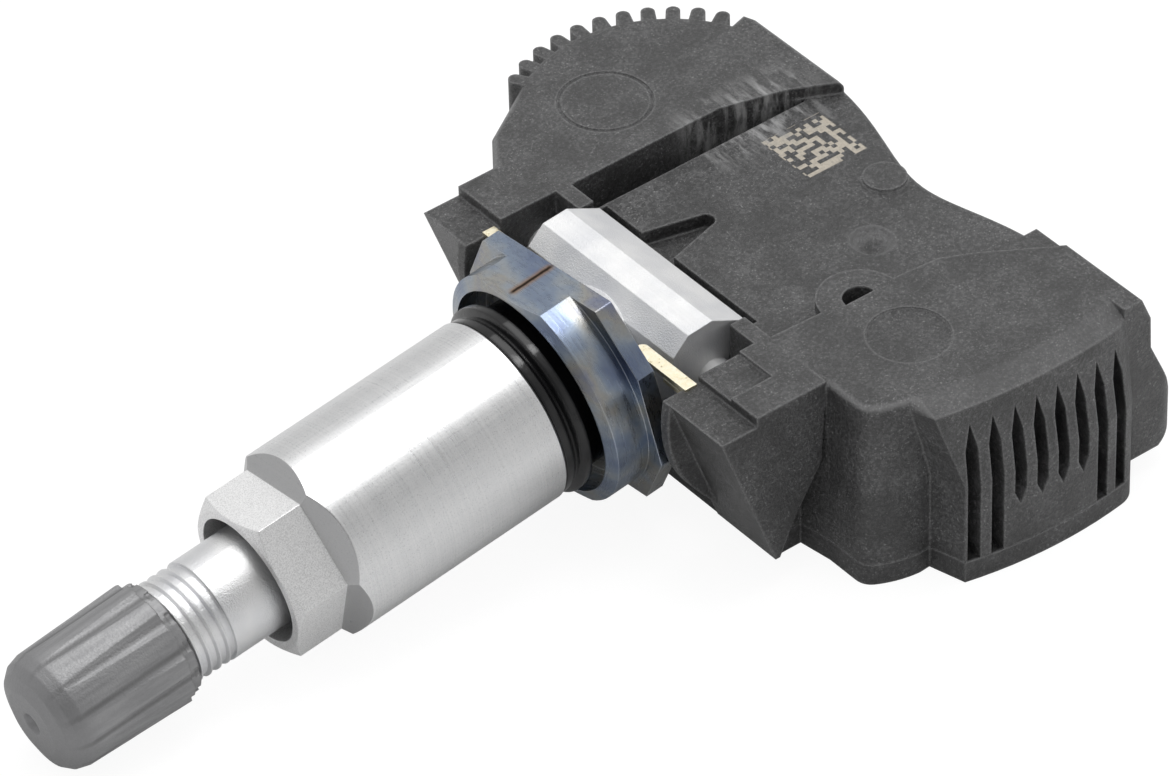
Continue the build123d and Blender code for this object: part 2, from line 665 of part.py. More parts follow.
# Moulded housing, open below
sunken_floor = PLATEAU - SUNKEN_DEPTH
with BuildPart() as housing:
    extrude(outline(Plane.XY.offset(COVER_THICKNESS)), amount=PLATEAU - COVER_THICKNESS)
    fillet(housing.edges().group_by(Axis.Z)[-1], radius=TOP_ROUND)
    # Slotted wall, which leans in above its kink and has a sloping shoulder
    lower = wall_section(COVER_THICKNESS, 0, 0)
    kink = wall_section(GRILLE_KINK, 0, 0)
    lean = wall_section(GRILLE_LEAN_TOP, GRILLE_LEAN, GRILLE_SPREAD)
    shoulder = wall_section(PLATEAU, GRILLE_SHOULDER, GRILLE_SPREAD)
    loft([lower, kink, lean, shoulder], ruled=True)
    # Back wall swells below the rim beside the slotted wall
    with BuildPart() as bulge:
        with BuildSketch(Plane.XZ.offset(-BULGE_START)):
            with BuildLine():
                Polyline(
                    (BACK - 1.0, PLATEAU),
                    (BACK + 0.6, PLATEAU),
                    (BACK + 1.45, 13.9),
                    (BACK + 1.55, 11.2),
                    (BACK + 3.2, 7.6),
                    (BACK + 3.95, 5.4),
                    (BACK + 4.1, 3.0),
                    (BACK + 2.5, COVER_THICKNESS),
                    (BACK - 1.0, COVER_THICKNESS),
                    close=True,
                )
            make_face()
        extrude(amount=BULGE_START - BULGE_END)
        with BuildSketch(Plane.XY):
            with Locations((BACK + 4.2, (BULGE_START + BULGE_END) / 2)):
                RectangleRounded(
                    16, BULGE_END - BULGE_START, BULGE_ROUND, align=(Align.MAX, Align.CENTER)
                )
        extrude(amount=PLATEAU, mode=Mode.INTERSECT)
    add(bulge.part)
    add(arm(ARM_INNER, ARM_WIDTH_LEFT, 1))
    add(arm(ARM_INNER, ARM_WIDTH_RIGHT, -1))
    # Fins round the battery lobe
    with BuildSketch(Plane.XY.offset(COVER_THICKNESS)):
        for index in range(FIN_COUNT):
            angle = FIN_FIRST_ANGLE + FIN_PITCH * index
            with Locations(Location((BATTERY_X, BATTERY_Y), angle)):
                with Locations((LOBE_RADIUS - 0.5, 0)):
                    SlotCenterPoint((0, 0), (FIN_REACH, 0), FIN_WIDTH)
    extrude(amount=PLATEAU - FIN_TOP_DROP - COVER_THICKNESS)
    # Sunken middle, and the deep groove beside the battery plateau
    with BuildSketch(Plane.XY.offset(PLATEAU)):
        with BuildLine():
            Polyline(
                (TROUGH_REAR_LOW, STEP_RIGHT),
                (14.3, STEP_RIGHT - 0.6),
                (17.0, STEP_RIGHT - 0.9),
                (19.5, STEP_RIGHT - 2.2),
                (REAR + 0.7, STEP_RIGHT - 6.1),
                (REAR + 2, STEP_RIGHT - 6.1),
                (REAR + 2, GROOVE_EDGE - 1),
                (REAR - 0.2, GROOVE_EDGE - 1),
                (20.9, GROOVE_EDGE + 0.9),
                (16.0, PLATEAU_EDGE),
                (TROUGH_REAR_LOW, PLATEAU_EDGE),
                close=True,
            )
        make_face()
    extrude(amount=-SUNKEN_DEPTH, mode=Mode.SUBTRACT)
    with BuildSketch(Plane.XY.offset(PLATEAU)):
        with BuildLine():
            Polyline(
                (TROUGH_REAR_LOW, GROOVE_EDGE),
                (22.4, GROOVE_EDGE),
                (20.9, GROOVE_EDGE + 0.9),
                (16.0, PLATEAU_EDGE),
                (TROUGH_REAR_LOW, PLATEAU_EDGE),
                close=True,
            )
        make_face()
    extrude(amount=-GROOVE_DEPTH, mode=Mode.SUBTRACT)
    # Trough for the foot bar, with a pocket past each end
    with BuildSketch(Plane.XZ.offset(-BAR_LENGTH / 2 - 0.3)):
        with BuildLine():
            Polyline(
                (ARM_TIP - 1, TROUGH_FLOOR),
                (TROUGH_REAR_LOW, TROUGH_FLOOR),
                (TROUGH_REAR_LOW, TROUGH_SHOULDER),
                (TROUGH_REAR, TROUGH_SHOULDER + 1),
                (TROUGH_REAR, PLATEAU + 1),
                (ARM_TIP - 1, PLATEAU + 1),
                close=True,
            )
        make_face()
    extrude(amount=BAR_LENGTH + 0.6, mode=Mode.SUBTRACT)
    with BuildSketch(Plane.XY.offset(TROUGH_FLOOR)):
        with Locations((POCKET_REAR, 0)):
            Rectangle(10, 2 * ARM_INNER, align=(Align.MAX, Align.CENTER))
    extrude(amount=PLATEAU, mode=Mode.SUBTRACT)
    # Bearings for the foot bar's pins
    with BuildSketch(Plane.XZ):
        with Locations((0, PIVOT_HEIGHT)):
            Circle(PIN_RADIUS + RUNNING_GAP)
    extrude(amount=ARM_INNER + PIN_REACH + 0.1, both=True, mode=Mode.SUBTRACT)
    # Slots for the clips
    with BuildSketch(Plane.YZ.offset(CLIP_FRONT)):
        with Locations((0, CLIP_TOP)):
            Rectangle(2 * clip_end, CLIP_THICKNESS + layer_drop, align=(Align.CENTER, Align.MAX))
    extrude(amount=CLIP_WIDTH, mode=Mode.SUBTRACT)
    # Slots of the end wall
    for index in range(SLOT_COUNT):
        slot_x = SLOT_FIRST + SLOT_PITCH * index
        left = slot_x - SLOT_WIDTH / 2
        right = slot_x + SLOT_WIDTH / 2
        if index in SHORT_SLOTS:
            knee = SLOT_SHORT_FOOT + SLOT_VEE
            foot = [(left, knee), (slot_x, SLOT_SHORT_FOOT), (right, knee)]
        else:
            foot = [(left, COVER_THICKNESS), (right, COVER_THICKNESS)]
        with BuildSketch(Plane.XZ.offset(-GRILLE_FACE - SLOT_DEPTH)):
            with BuildLine():
                Polyline(
                    (slot_x, SLOT_TOP),
                    (left, SLOT_TOP - SLOT_TAPER),
                    *foot,
                    (right, SLOT_TOP - SLOT_TAPER),
                    close=True,
                )
            make_face()
        extrude(amount=SLOT_DEPTH + 2, mode=Mode.SUBTRACT)
    # Raised boss with a half-round vent, a disc and a dimple
    with BuildSketch(Plane.XY.offset(sunken_floor)):
        with Locations((BOSS_X, BOSS_Y)):
            Circle(BOSS_RADIUS)
    extrude(amount=SUNKEN_DEPTH)
    with BuildSketch(Plane.XY.offset(sunken_floor)):
        with Locations((DISC_X, DISC_Y)):
            Circle(DISC_RADIUS)
    extrude(amount=DISC_RISE)
    with Locations((DIMPLE_X, DIMPLE_Y, sunken_floor + DIMPLE_LIFT)):
        Sphere(DIMPLE_SPHERE, mode=Mode.SUBTRACT)
    with BuildSketch(Plane.XY.offset(POCKET_TOP)):
        with Locations((BOSS_X, BOSS_Y)):
            Circle(VENT_RADIUS)
            Rectangle(4, 4, align=(Align.CENTER, Align.MAX), mode=Mode.SUBTRACT)
    extrude(amount=PLATEAU - POCKET_TOP, mode=Mode.SUBTRACT)
    # Trench behind the foot bar, which narrows to a round end
    with BuildSketch(Plane.XY.offset(sunken_floor)):
        with BuildLine():
            Polyline(
                (TROUGH_REAR, TRENCH_Y + TRENCH_MOUTH / 2),
                (TROUGH_REAR, TRENCH_Y - TRENCH_MOUTH / 2),
                (TRENCH_END, TRENCH_Y - TRENCH_TIP_RADIUS),
            )
            ThreePointArc(
                (TRENCH_END, TRENCH_Y - TRENCH_TIP_RADIUS),
                (TRENCH_END + TRENCH_TIP_RADIUS, TRENCH_Y),
                (TRENCH_END, TRENCH_Y + TRENCH_TIP_RADIUS),
            )
            Line((TRENCH_END, TRENCH_Y + TRENCH_TIP_RADIUS), (TROUGH_REAR, TRENCH_Y + TRENCH_MOUTH / 2))
        make_face()
    extrude(amount=-TRENCH_DEPTH, mode=Mode.SUBTRACT)
    # Lower floor on the right arm, a shallow round recess, and a faint ring on the plateau
    with BuildSketch(Plane.XY.offset(PLATEAU)):
        with Locations((ARM_TIP + ARM_WEDGE, ARM_FLOOR_EDGE)):
            Rectangle(-ARM_TIP - ARM_WEDGE, -ARM_FLOOR_EDGE, align=(Align.MIN, Align.MIN))
    extrude(amount=-ARM_FLOOR_STEP, mode=Mode.SUBTRACT)
    with BuildSketch(Plane.XY.offset(PLATEAU)):
        with Locations((RECESS_X, RECESS_Y)):
            Circle(RECESS_RADIUS)
        with Locations((RING_X, RING_Y)):
            Circle(RING_RADIUS)
            Circle(RING_RADIUS - MARK_WIDTH, mode=Mode.SUBTRACT)
    extrude(amount=-MARK_DEPTH, mode=Mode.SUBTRACT)
    # Room for the board and the cell
    with BuildSketch(Plane.XY.offset(COVER_THICKNESS)):
        with Locations((BOARD_X, BOARD_Y)):
            Rectangle(BOARD_WIDTH + 2 * BOARD_ROOM, BOARD_LENGTH + 2 * BOARD_ROOM)
        with Locations((BATTERY_X, BATTERY_Y)):
            Circle(BATTERY_RADIUS + 0.15)
    extrude(amount=POCKET_TOP - COVER_THICKNESS, mode=Mode.SUBTRACT)
housing.part.label = "housing"

# Bottom cover with pads that carry the board
with BuildPart() as bottom_cover:
    extrude(outline(Plane.XY), amount=COVER_THICKNESS)
    extrude(wall_section(0, 0, 0), amount=COVER_THICKNESS)
    with BuildSketch(Plane.XY.offset(COVER_THICKNESS)):
        with Locations((BOARD_X, BOARD_Y)):
            with GridLocations(BOARD_WIDTH - 2 * PAD_INSET, BOARD_LENGTH - 2 * PAD_INSET, 2, 2):
                Circle(PAD_RADIUS)
    extrude(amount=BOARD_LIFT)
bottom_cover.part.label = "bottom_cover"

# Circuit board
board_bottom = COVER_THICKNESS + BOARD_LIFT
board_top = board_bottom + BOARD_THICKNESS
with BuildPart() as circuit_board:
    with BuildSketch(Plane.XY.offset(board_bottom)):
        with Locations((BOARD_X, BOARD_Y)):
            RectangleRounded(BOARD_WIDTH, BOARD_LENGTH, BOARD_CORNER)
    extrude(amount=BOARD_THICKNESS)
circuit_board.part.label = "circuit_board"

# Battery cell
cell_bottom = board_top + BATTERY_LIFT
cell_top = cell_bottom + BATTERY_THICKNESS
with BuildPart() as battery_cell:
    with BuildSketch(Plane.XY.offset(cell_bottom)):
        with Locations((BATTERY_X, BATTERY_Y)):
            Circle(BATTERY_RADIUS)
    extrude(amount=BATTERY_THICKNESS)
    chamfer(battery_cell.edges().filter_by(GeomType.CIRCLE), length=CELL_CHAMFER)
battery_cell.part.label = "battery_cell"

# Contact tabs from the cell to the board
cell_edge = BATTERY_Y - BATTERY_RADIUS
with BuildPart() as battery_tab_positive:
    with BuildSketch(Plane.YZ.offset(8.5)):
        with BuildLine():
            Polyline(
                (cell_edge + 6, cell_top),
                (cell_edge + 6, cell_top + TAB_THICKNESS),
                (cell_edge - 1, cell_top + TAB_THICKNESS),
                (cell_edge - 1, board_top),
                (cell_edge - 1 + TAB_THICKNESS, board_top),
                (cell_edge - 1 + TAB_THICKNESS, cell_top),
                close=True,
            )
        make_face()
    extrude(amount=TAB_WIDTH)
battery_tab_positive.part.label = "battery_tab_positive"

with BuildPart() as battery_tab_negative:
    with BuildSketch(Plane.YZ.offset(14.5)):
        with BuildLine():
            Polyline(
                (cell_edge + 6, cell_bottom),
                (cell_edge + 6, cell_bottom - TAB_THICKNESS),
                (cell_edge + TAB_THICKNESS, cell_bottom - TAB_THICKNESS),
                (cell_edge + TAB_THICKNESS, board_top),
                (cell_edge, board_top),
                (cell_edge, cell_bottom),
                close=True,
            )
        make_face()
    extrude(amount=TAB_WIDTH)
battery_tab_negative.part.label = "battery_tab_negative"

# Pressure sensor with its port under the vent
with BuildPart() as pressure_sensor:
    with BuildSketch(Plane.XY.offset(board_top)):
        with Locations((BOSS_X, BOSS_Y)):
            Rectangle(5.0, 5.0)
    extrude(amount=1.8)
    with BuildSketch(Plane.XY.offset(board_top + 1.8)):
        with Locations((BOSS_X, BOSS_Y)):
            Circle(0.6)
    extrude(amount=-0.5, mode=Mode.SUBTRACT)
pressure_sensor.part.label = "pressure_sensor"

# Rubber tube from the vent to the sensor
membrane = 0.2
with BuildPart() as pressure_gasket:
    with BuildSketch(Plane.XY.offset(board_top + 1.8)):
        with Locations((BOSS_X, BOSS_Y)):
            Circle(2.1)
            Circle(0.9, mode=Mode.SUBTRACT)
    extrude(amount=POCKET_TOP - membrane - board_top - 1.8)
pressure_gasket.part.label = "pressure_gasket"

# Gas-permeable disc behind the vent
with BuildPart() as vent_membrane:
    with BuildSketch(Plane.XY.offset(POCKET_TOP - membrane)):
        with Locations((BOSS_X, BOSS_Y)):
            Circle(2.1)
    extrude(amount=membrane)
vent_membrane.part.label = "vent_membrane"

# Control chip, crystal, low-frequency coil and capacitors on the board
with BuildPart() as control_chip:
    with BuildSketch(Plane.XY.offset(board_top)):
        with Locations((17.0, -4.0)):
            Rectangle(6.0, 6.0)
    extrude(amount=1.0)
control_chip.part.label = "control_chip"

with BuildPart() as crystal:
    with BuildSketch(Plane.XY.offset(board_top)):
        with Locations((10.0, -3.0)):
            RectangleRounded(3.2, 2.5, 0.3)
    extrude(amount=0.8)
crystal.part.label = "crystal"

coil_y = -12.0
coil_x = 17.5
coil_length = 6.4
flange_height = 2.0
with BuildPart() as lf_coil_core:
    with BuildSketch(Plane.XY.offset(board_top)):
        with Locations((coil_x, coil_y)):
            with GridLocations(0, coil_length - 0.8, 1, 2):
                Rectangle(3.2, 0.8)
    extrude(amount=flange_height)
    with BuildSketch(Plane.XZ.offset(-coil_y)):
        with Locations((coil_x, board_top + flange_height / 2)):
            Rectangle(1.6, 1.2)
    extrude(amount=coil_length / 2, both=True)
lf_coil_core.part.label = "lf_coil_core"

with BuildPart() as lf_coil_winding:
    with BuildSketch(Plane.XZ.offset(-coil_y)):
        with Locations((coil_x, board_top + flange_height / 2)):
            RectangleRounded(2.8, 1.9, 0.4)
            Rectangle(1.6, 1.2, mode=Mode.SUBTRACT)
    extrude(amount=coil_length / 2 - 0.8, both=True)
lf_coil_winding.part.label = "lf_coil_winding"

with BuildPart() as chip_capacitors:
    with BuildSketch(Plane.XY.offset(board_top)):
        with Locations((9.0, cell_edge - 2.6)):
            with GridLocations(CHIP_PITCH, 0, 3, 1):
                Rectangle(CHIP_WIDTH, CHIP_LENGTH)
        with Locations((11.5, BOARD_Y - 12.2)):
            with GridLocations(CHIP_PITCH, 0, 4, 1):
                Rectangle(CHIP_WIDTH, CHIP_LENGTH)
    extrude(amount=CHIP_HEIGHT)
chip_capacitors.part.label = "chip_capacitors"

# Antenna: bent strip that stands along the slotted wall
with BuildPart() as antenna_loop:
    with BuildSketch(Plane.XZ.offset(19.4)):
        with BuildLine():
            Polyline(
                (7.6, board_top),
                (7.6, POCKET_TOP - 1.4),
                (20.6, POCKET_TOP - 1.4),
                (20.6, board_top),
                (20.0, board_top),
                (20.0, POCKET_TOP - 2.0),
                (8.2, POCKET_TOP - 2.0),
                (8.2, board_top),
                close=True,
            )
        make_face()
    extrude(amount=0.8)
antenna_loop.part.label = "antenna_loop"

pieces = [
    valve_cap,
    cap_seal,
    valve_core_body,
    valve_core_seal,
    valve_core_pin,
    valve_core_cup_seal,
    valve_core_guide,
    valve_core_spring,
    valve_stem,
    collar_nut,
    grommet,
    support_washer,
    retaining_clips,
    housing,
    bottom_cover,
    circuit_board,
    battery_cell,
    battery_tab_positive,
    battery_tab_negative,
    pressure_sensor,
    pressure_gasket,
    vent_membrane,
    control_chip,
    crystal,
    lf_coil_core,
    lf_coil_winding,
    chip_capacitors,
    antenna_loop,
]
os.makedirs("parts", exist_ok=True)
for piece in pieces:
    export_step(piece.part, f"parts/{piece.part.label}.step")
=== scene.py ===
import math

import bpy
from mathutils import Matrix, Vector


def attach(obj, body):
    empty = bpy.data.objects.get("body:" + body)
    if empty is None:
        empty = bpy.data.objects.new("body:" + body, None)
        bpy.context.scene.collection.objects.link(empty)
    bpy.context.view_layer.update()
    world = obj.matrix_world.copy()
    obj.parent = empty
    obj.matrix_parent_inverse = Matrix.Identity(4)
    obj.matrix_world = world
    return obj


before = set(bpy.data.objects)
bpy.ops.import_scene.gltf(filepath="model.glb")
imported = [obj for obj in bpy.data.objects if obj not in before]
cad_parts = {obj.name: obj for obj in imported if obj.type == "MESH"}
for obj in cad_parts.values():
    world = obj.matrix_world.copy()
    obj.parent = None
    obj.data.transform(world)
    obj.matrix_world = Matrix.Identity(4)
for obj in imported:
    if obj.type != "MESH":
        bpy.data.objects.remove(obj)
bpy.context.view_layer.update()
scene = bpy.context.scene

# Lengths in metres, with the stem line as the part's frame has it
MM = 0.001
PIVOT = Vector((0.0, 0.0, 11.9 * MM))
STEM_TILT = math.radians(8.0)
STEM_DIR = Vector((-math.cos(STEM_TILT), 0.0, -math.sin(STEM_TILT)))
UP_DIR = Vector((-math.sin(STEM_TILT), 0.0, math.cos(STEM_TILT)))
SIDE_DIR = Vector((0.0, 1.0, 0.0))

# Camera, as the photograph was taken
IMAGE_WIDTH = 1176
IMAGE_HEIGHT = 776
FOCAL_PIXELS = 8000.0
PIVOT_PIXEL = (640.0, 318.5)
CAMERA_DISTANCE = 0.5548
AZIMUTH = math.radians(-37.5)
ELEVATION = math.radians(40.0)
ROLL = math.radians(-1.65)
SENSOR = 36.0
CAMERA_SIDE = Vector((
    math.sin(AZIMUTH) * math.cos(ELEVATION),
    -math.cos(AZIMUTH) * math.cos(ELEVATION),
    math.sin(ELEVATION),
))


def add_camera():
    """Camera with the photograph's direction, distance and roll."""
    back = CAMERA_SIDE
    level = Vector((math.cos(AZIMUTH), math.sin(AZIMUTH), 0.0))
    upright = back.cross(level)
    right = math.cos(ROLL) * level + math.sin(ROLL) * upright
    up = -math.sin(ROLL) * level + math.cos(ROLL) * upright
    aside = (PIVOT_PIXEL[0] - IMAGE_WIDTH / 2) / FOCAL_PIXELS * CAMERA_DISTANCE
    above = (IMAGE_HEIGHT / 2 - PIVOT_PIXEL[1]) / FOCAL_PIXELS * CAMERA_DISTANCE
    data = bpy.data.cameras.new("camera")
    data.sensor_width = SENSOR
    data.lens = FOCAL_PIXELS / IMAGE_WIDTH * SENSOR
    data.clip_start = 0.01
    data.clip_end = 20.0
    camera = bpy.data.objects.new("camera", data)
    place = Matrix((right, up, back)).transposed().to_4x4()
    place.translation = PIVOT + back * CAMERA_DISTANCE - right * aside - up * above
    camera.matrix_world = place
    scene.collection.objects.link(camera)
    scene.camera = camera


add_camera()


class Finish:
    """A material that is built up from nodes, with lengths in millimetres."""

    def __init__(self, name, color, roughness, metallic=0.0):
        self.material = bpy.data.materials.new(name)
        self.material.use_nodes = True
        self.tree = self.material.node_tree
        self.shader = self.tree.nodes["Principled BSDF"]
        self.shader.inputs["Base Color"].default_value = (*color, 1.0)
        self.shader.inputs["Roughness"].default_value = roughness
        self.shader.inputs["Metallic"].default_value = metallic
        self.normal = None

    def add(self, kind, settings=None, **inputs):
        node = self.tree.nodes.new(kind)
        for name, value in (settings or {}).items():
            setattr(node, name, value)
        for name, value in inputs.items():
            self.join(node.inputs[name.replace("_", " ")], value)
        return node

    def join(self, socket, value):
        if isinstance(value, bpy.types.NodeSocket):
            self.tree.links.new(value, socket)
        else:
            socket.default_value = value

    def math(self, operation, first, second=0.0):
        node = self.add("ShaderNodeMath", {"operation": operation})
        self.join(node.inputs[0], first)
        self.join(node.inputs[1], second)
        return node.outputs[0]

    def dot(self, first, second):
        node = self.add("ShaderNodeVectorMath", {"operation": "DOT_PRODUCT"})
        self.join(node.inputs[0], first)
        self.join(node.inputs[1], second)
        return node.outputs["Value"]

    def place(self, stretch=(1.0, 1.0, 1.0)):
        """Position in the part's frame, in millimetres, stretched along each axis."""
        coordinate = self.add("ShaderNodeTexCoord").outputs["Object"]
        node = self.add("ShaderNodeVectorMath", {"operation": "MULTIPLY"})
        self.join(node.inputs[0], coordinate)
        node.inputs[1].default_value = [s / MM for s in stretch]
        return node.outputs[0]

    def stem_place(self):
        """Distance along the stem from the pivot, sideways and up, in millimetres."""
        coordinate = self.add("ShaderNodeTexCoord").outputs["Object"]
        node = self.add("ShaderNodeVectorMath", {"operation": "SUBTRACT"})
        self.join(node.inputs[0], coordinate)
        node.inputs[1].default_value = PIVOT
        return [self.dot(node.outputs[0], axis / MM) for axis in (STEM_DIR, SIDE_DIR, UP_DIR)]

    def vector(self, x, y, z):
        node = self.add("ShaderNodeCombineXYZ")
        for socket, value in zip(node.inputs, (x, y, z)):
            self.join(socket, value)
        return node.outputs[0]

    def noise(self, vector, scale, detail=2.0, roughness=0.5):
        node = self.add("ShaderNodeTexNoise", Vector=vector, Scale=scale, Detail=detail, Roughness=roughness)
        return node.outputs["Fac"]

    def spread(self, value, low, high, start=0.0, end=1.0):
        """Moves the range low to high of value onto start to end."""
        limits = {"From_Min": low, "From_Max": high, "To_Min": start, "To_Max": end}
        node = self.add("ShaderNodeMapRange", Value=value, **limits)
        return node.outputs[0]

    def mix(self, factor, first, second):
        node = self.add("ShaderNodeMix", {"data_type": "RGBA"})
        self.join(node.inputs[0], factor)
        for socket, color in ((node.inputs[6], first), (node.inputs[7], second)):
            self.join(socket, color if isinstance(color, bpy.types.NodeSocket) else (*color, 1.0))
        return node.outputs[2]

    def ramp(self, value, stops):
        node = self.add("ShaderNodeValToRGB", Fac=value)
        elements = node.color_ramp.elements
        while len(elements) < len(stops):
            elements.new(0.5)
        for element, (position, color) in zip(elements, stops):
            element.position = position
            element.color = (*color, 1.0)
        return node.outputs["Color"]

    def soften(self, radius):
        """Rounds the edges in the shading, by a radius in millimetres, and gives back a mask of those edges
        that the finishes use for painted edge highlights.
        """
        bevel = self.add("ShaderNodeBevel", {"samples": 6}, Radius=radius * MM)
        self.normal = bevel.outputs[0]
        face = self.add("ShaderNodeNewGeometry").outputs["Normal"]
        return self.spread(self.dot(self.normal, face), 0.995, 0.85)

    def bump(self, height, depth):
        node = self.add("ShaderNodeBump", Height=height, Distance=depth * MM, Strength=1.0)
        if self.normal is not None:
            self.join(node.inputs["Normal"], self.normal)
        self.normal = node.outputs[0]

    def color(self, value):
        self.join(self.shader.inputs["Base Color"], value)

    def rough(self, value):
        self.join(self.shader.inputs["Roughness"], value)

    def done(self):
        if self.normal is not None:
            self.join(self.shader.inputs["Normal"], self.normal)
        return self.material


def stem_angle(finish):
    """Distance along the stem, and the angle round it as a share of a turn from -0.5 to 0.5."""
    along, side, up = finish.stem_place()
    turn = finish.math("DIVIDE", finish.math("ARCTAN2", side, up), 2 * math.pi)
    return along, turn


def drawn_noise(finish, along, along_scale, turn, turn_scale, detail):
    """Noise that is drawn out along the stem or round it."""
    place = finish.vector(
        finish.math("MULTIPLY", along, along_scale),
        finish.math("MULTIPLY", turn, turn_scale),
        0.0,
    )
    return finish.noise(place, 1.0, detail)


def turned_lines(finish, per_mm, depth):
    """Fine lines round the stem, as a lathe leaves them."""
    along, turn = stem_angle(finish)
    lines = drawn_noise(finish, along, per_mm, turn, 2.0, 3.0)
    finish.bump(lines, depth)
    return lines


def blasted_aluminium():
    """Bright bar and shank: fine matt grain with soft flow lines."""
    finish = Finish("stem_aluminium", (0.8, 0.8, 0.81), 0.36, 1.0)
    highlit_edge = finish.soften(0.12)
    grain = finish.noise(finish.place(), 9.0, 3.0)
    lines = turned_lines(finish, 5.0, 0.004)
    finish.bump(grain, 0.04)
    cloud = finish.noise(finish.place(), 0.35, 2.0)
    tone = finish.mix(finish.spread(cloud, 0.35, 0.65), (0.74, 0.745, 0.76), (0.84, 0.84, 0.84))
    # Painted highlight: the edges are mixed towards near white.
    finish.color(finish.mix(finish.math("MULTIPLY", highlit_edge, 0.5), tone, (0.93, 0.93, 0.93)))
    along = finish.stem_place()[0]
    bar = finish.spread(along, 7.0, 4.0, 0.0, 0.3)
    satin = finish.spread(finish.math("ADD", grain, lines), 0.7, 1.3, 0.28, 0.42)
    finish.rough(finish.math("ADD", bar, satin))
    return finish.done()


def turned_aluminium():
    """Collar nut: satin with lines round and along the collar."""
    finish = Finish("nut_aluminium", (0.76, 0.765, 0.77), 0.3, 1.0)
    highlit_edge = finish.soften(0.1)
    along, turn = stem_angle(finish)
    round_lines = drawn_noise(finish, along, 7.0, turn, 3.0, 4.0)
    long_lines = drawn_noise(finish, along, 0.12, turn, 160.0, 2.0)
    speckle = finish.noise(finish.place(), 11.0, 2.0)
    finish.bump(round_lines, 0.003)
    finish.bump(long_lines, 0.0014)
    finish.bump(speckle, 0.006)
    scratch = finish.math("ADD", round_lines, finish.math("MULTIPLY", long_lines, 0.6))
    tone = finish.mix(finish.spread(scratch, 0.6, 1.0), (0.7, 0.705, 0.71), (0.78, 0.78, 0.78))
    tone = finish.mix(finish.spread(speckle, 0.42, 0.25, 0.0, 0.7), tone, (0.4, 0.4, 0.41))
    # Painted shade: the run-out facets just behind the hex face, which face along the stem, are darkened.
    facing = finish.dot(finish.add("ShaderNodeNewGeometry").outputs["Normal"], STEM_DIR)
    behind_face = finish.spread(along, HEX_FACE - 0.6, HEX_FACE - 1.4)
    runout_painted_shade = finish.math("MULTIPLY", finish.spread(facing, 0.12, 0.3), behind_face)
    hexagon = finish.spread(along, HEX_START - 0.3, HEX_START)
    blasted = finish.mix(finish.spread(speckle, 0.35, 0.6), (0.7, 0.7, 0.7), (0.92, 0.92, 0.92))
    tone = finish.mix(hexagon, tone, blasted)
    tone = finish.mix(finish.math("MULTIPLY", runout_painted_shade, 0.65), tone, (0.3, 0.3, 0.305))
    # Painted highlight: the edges are mixed towards near white.
    finish.color(finish.mix(finish.math("MULTIPLY", highlit_edge, 0.6), tone, (0.92, 0.92, 0.92)))
    satin = finish.spread(scratch, 0.55, 1.05, 0.26, 0.38)
    finish.rough(finish.math("ADD", finish.math("MULTIPLY", hexagon, 0.15), satin))
    return finish.done()


def cap_metal():
    """Dull grey cap with streaks along its flutes."""
    finish = Finish("cap_grey", (0.3, 0.3, 0.31), 0.46, 0.7)
    highlit_edge = finish.soften(0.25)
    along, turn = stem_angle(finish)
    streaks = drawn_noise(finish, along, 0.25, turn, 60.0, 3.0)
    grain = finish.noise(finish.place(), 6.0, 3.0)
    finish.bump(grain, 0.03)
    streaks = finish.math("MULTIPLY", finish.spread(streaks, 0.35, 0.65), finish.spread(along, 51.5, 50.0))
    tone = finish.mix(streaks, (0.26, 0.26, 0.265), (0.32, 0.32, 0.325))
    # Painted shade: narrow dark lines round the barrel at the flutes, fading out before the nose.
    wave = finish.math("COSINE", finish.math("MULTIPLY", turn, 2 * math.pi * FLUTES))
    before_nose = finish.spread(along, 52.5, 50.5)
    flute_painted_shade = finish.math("MULTIPLY", finish.spread(wave, 0.75, 1.0), before_nose)
    tone = finish.mix(finish.math("MULTIPLY", flute_painted_shade, 0.55), tone, (0.1, 0.1, 0.1))
    # Painted highlight: the edges are mixed towards lighter grey.
    finish.color(finish.mix(finish.math("MULTIPLY", highlit_edge, 0.25), tone, (0.42, 0.42, 0.42)))
    finish.rough(finish.spread(grain, 0.3, 0.7, 0.44, 0.56))
    return finish.done()


def glossy_rubber():
    """Wet-looking black rubber of the grommet."""
    finish = Finish("grommet_rubber", (0.004, 0.004, 0.0045), 0.16)
    finish.shader.inputs["Specular IOR Level"].default_value = 0.35
    finish.shader.inputs["Coat Weight"].default_value = 0.2
    finish.shader.inputs["Coat Roughness"].default_value = 0.05
    finish.soften(0.3)
    grain = finish.noise(finish.place(), 1.6, 3.0)
    finish.bump(grain, 0.02)
    finish.rough(finish.spread(grain, 0.3, 0.7, 0.08, 0.18))
    return finish.done()


def matt_rubber():
    """Black rubber of the seals."""
    finish = Finish("seal_rubber", (0.02, 0.02, 0.02), 0.55)
    grain = finish.noise(finish.place(), 8.0, 3.0)
    finish.bump(grain, 0.01)
    finish.color(finish.mix(grain, (0.012, 0.012, 0.012), (0.032, 0.032, 0.032)))
    return finish.done()


